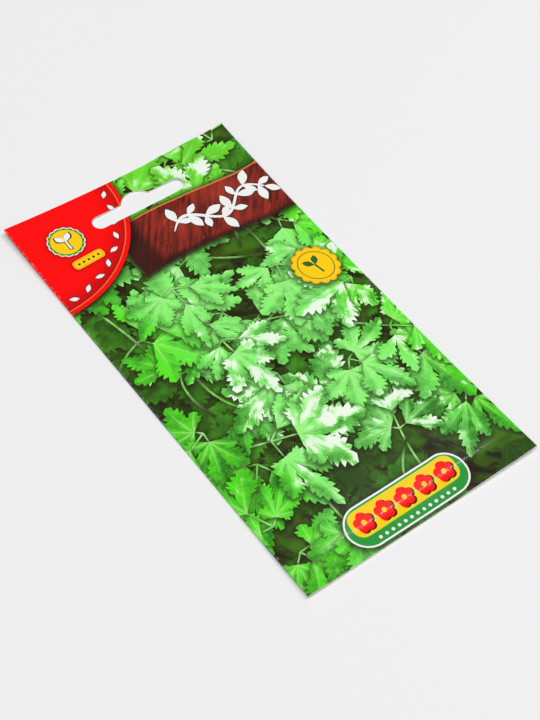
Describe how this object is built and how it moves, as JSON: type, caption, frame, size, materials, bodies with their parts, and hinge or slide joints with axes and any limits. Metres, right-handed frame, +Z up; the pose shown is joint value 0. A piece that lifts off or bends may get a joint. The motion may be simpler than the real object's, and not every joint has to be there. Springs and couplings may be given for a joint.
{
  "type": "seed packet",
  "caption": "Flat sealed seed packet of folded coated paper with a hang slot in its header, lying face up with its corners slightly curled.",
  "frame": {"origin": "on the surface that the packet lies on, under the middle of its width and length", "axes": "+X across the packet, +Y along it to the hang slot, +Z up out of the printed front"},
  "size_m": [0.08, 0.148, 0.0027],
  "materials": {
    "coated_paper": "satin",
    "adhesive": "satin",
    "seed_skin": "matte"
  },
  "bodies": {
    "root": {"packet_paper": "coated_paper", "back_seam_seal": "adhesive", "top_seal": "adhesive", "bottom_seal": "adhesive", "seeds": "seed_skin"}
  },
  "joints": []
}
